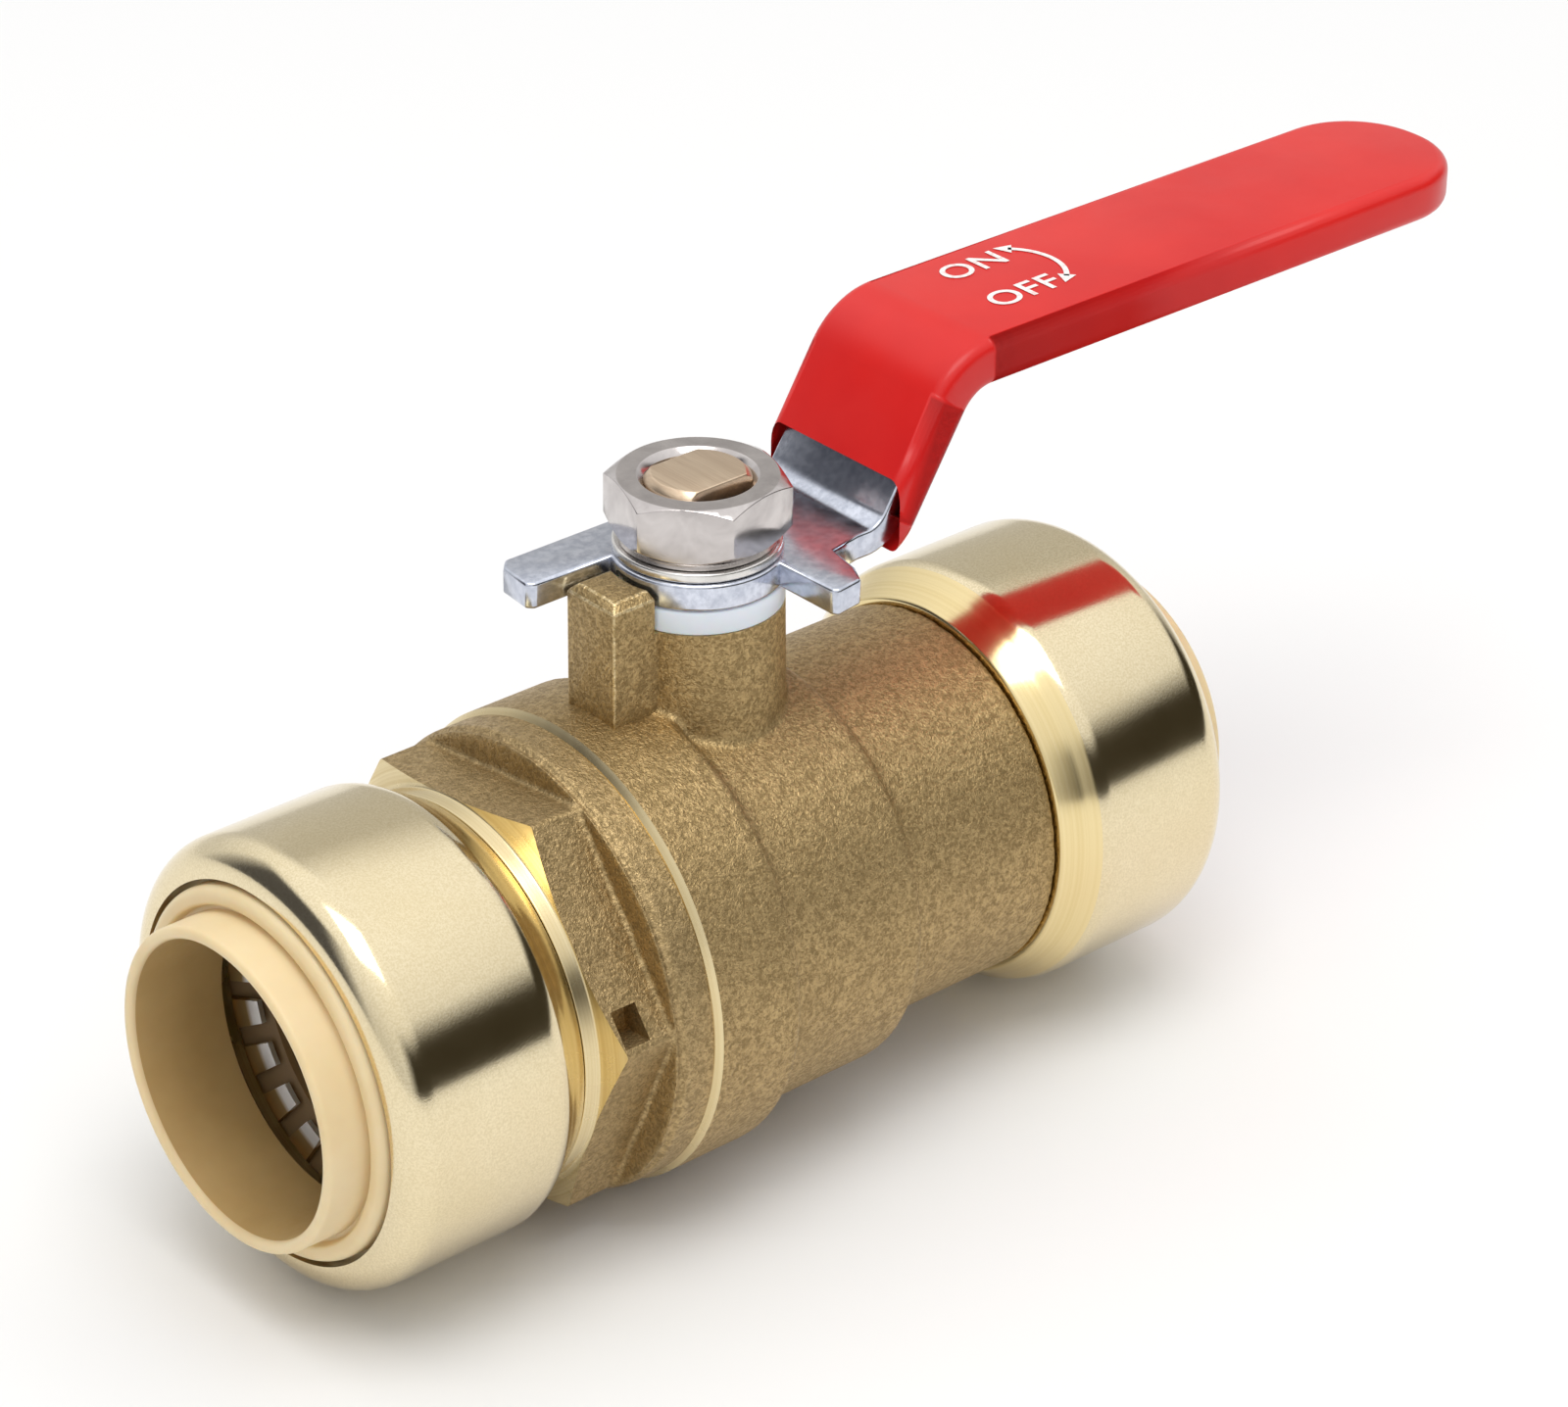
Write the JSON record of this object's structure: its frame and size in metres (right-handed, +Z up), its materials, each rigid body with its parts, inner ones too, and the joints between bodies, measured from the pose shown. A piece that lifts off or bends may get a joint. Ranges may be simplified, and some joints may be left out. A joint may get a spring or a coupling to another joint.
{
  "type": "water shutoff valve",
  "caption": "Quarter-turn brass ball valve with a push-fit tube socket at each end and a cranked lever with a red dipped grip.",
  "frame": {"origin": "on the pipe axis, at the mouth of the inlet's tube guide bore, just inside its seal", "axes": "+X along the pipe from inlet to outlet, +Z up the stem towards the handle nut, +Y to the left of the lever when seen from the inlet"},
  "size_m": [0.1187, 0.0368, 0.0594],
  "materials": {
    "forged_brass": "sandblasted",
    "adapter_brass": "sandblasted and machined",
    "casing_brass": "satin",
    "turned_brass": "machined",
    "stem_brass": "machined",
    "tooth_steel": "bright",
    "zinc_steel": "zinc plated",
    "washer_steel": "plated",
    "nickel_nut": "nickel plated",
    "ball_chrome": "polished",
    "red_vinyl": "dipped, semi-gloss",
    "collar_plastic": "satin",
    "guard_plastic": "satin",
    "washer_nylon": "smooth",
    "white_ptfe": "smooth",
    "seal_rubber": "smooth"
  },
  "bodies": {
    "valve": {"valve_body": "forged_brass", "end_adapter": "adapter_brass", "adapter_seal": "white_ptfe", "inlet_seat": "white_ptfe", "outlet_seat": "white_ptfe", "inlet_casing": "casing_brass", "outlet_casing": "casing_brass", "inlet_grab_ring": "tooth_steel", "outlet_grab_ring": "tooth_steel", "inlet_backing_ring": "turned_brass", "outlet_backing_ring": "turned_brass", "inlet_o_ring": "seal_rubber", "outlet_o_ring": "seal_rubber", "inlet_seal_guard": "guard_plastic", "outlet_seal_guard": "guard_plastic", "stem_thrust_washer": "white_ptfe", "bearing_washer": "washer_nylon", "stem_o_ring_lower": "seal_rubber", "stem_o_ring_upper": "seal_rubber"},
    "lever": {"ball": "ball_chrome", "stem": "stem_brass", "lever_plate": "zinc_steel", "lever_grip": "red_vinyl", "lock_washer": "washer_steel", "handle_nut": "nickel_nut"},
    "inlet_release": {"inlet_collar": "collar_plastic"},
    "outlet_release": {"outlet_collar": "collar_plastic"}
  },
  "joints": [
    {"name": "lever_turn", "type": "hinge", "parent": "valve", "child": "lever", "pos_m": [0.028, 0, 0], "axis": [0, 0, -1], "range_deg": [0, 90]},
    {"name": "inlet_collar_push", "type": "slide", "parent": "valve", "child": "inlet_release", "axis": [1, 0, 0], "range_m": [0, 0.002], "stiffness_N_per_m": 400},
    {"name": "outlet_collar_push", "type": "slide", "parent": "valve", "child": "outlet_release", "axis": [-1, 0, 0], "range_m": [0, 0.002], "stiffness_N_per_m": 400}
  ]
}
